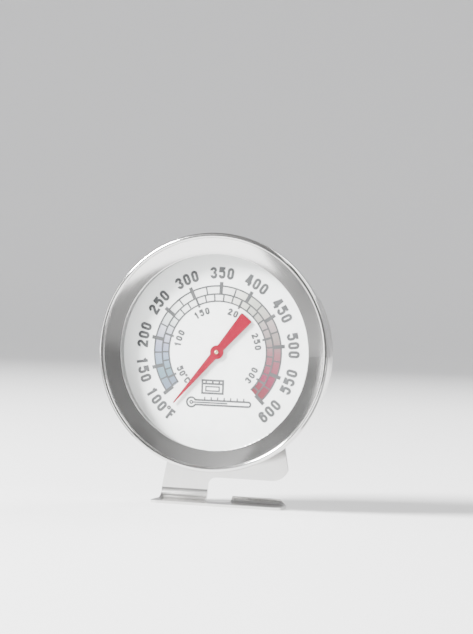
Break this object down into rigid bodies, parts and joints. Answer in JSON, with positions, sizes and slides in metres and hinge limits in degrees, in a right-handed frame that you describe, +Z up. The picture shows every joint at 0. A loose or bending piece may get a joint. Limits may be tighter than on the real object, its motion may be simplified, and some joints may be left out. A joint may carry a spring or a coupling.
{
  "type": "dial oven thermometer",
  "caption": "Round dial oven thermometer: glazed steel head with a bimetal pointer movement, swivelling on a bent steel stand with a side hook slot for a rack wire.",
  "frame": {"origin": "on the resting surface, under the middle of the overall width and depth", "axes": "+X to the right seen from the front, the dial faces -Y, +Z up"},
  "size_m": [0.07, 0.0214, 0.0806],
  "materials": {
    "stand_steel": "satin",
    "case_steel": "satin",
    "bezel_steel": "spun satin",
    "lens": "clear",
    "spacer_satin": "satin",
    "dial_white": "white enamel",
    "ink": "matt",
    "sleeve_aluminium": "mill",
    "rivet_steel": "satin",
    "washer_steel": "satin",
    "bridge_steel": "satin",
    "bush_brass": "turned",
    "coil_strip": "heat tinted",
    "spindle_brass": "turned",
    "pointer_red": "satin"
  },
  "bodies": {
    "stand": {"stand_bracket": "stand_steel"},
    "head": {"case_cup": "case_steel", "bezel_ring": "bezel_steel", "lens_glass": "lens", "spacer_ring": "spacer_satin", "dial_plate": "dial_white", "dial_scale": "ink", "inner_sleeve": "sleeve_aluminium", "pivot_rivet": "rivet_steel", "rivet_washer": "washer_steel", "friction_washer": "washer_steel", "movement_bridge": "bridge_steel", "bridge_studs": "rivet_steel", "front_bush": "bush_brass", "rear_bush": "bush_brass", "coil_anchor": "bridge_steel", "bimetal_coil": "coil_strip"},
    "needle": {"spindle": "spindle_brass", "pointer": "pointer_red", "pointer_boss": "spindle_brass", "coil_collet": "bush_brass", "thrust_washer": "washer_steel"}
  },
  "joints": [
    {"name": "head_swivel", "type": "hinge", "parent": "stand", "child": "head", "pos_m": [0, 0.0087, 0.0456], "axis": [0, 1, 0], "continuous": true},
    {"name": "pointer_sweep", "type": "hinge", "parent": "head", "child": "needle", "pos_m": [0, 0, 0.0456], "axis": [0, 1, 0], "range_deg": [-27, 290], "stiffness_Nm_per_rad": 0.0002}
  ]
}
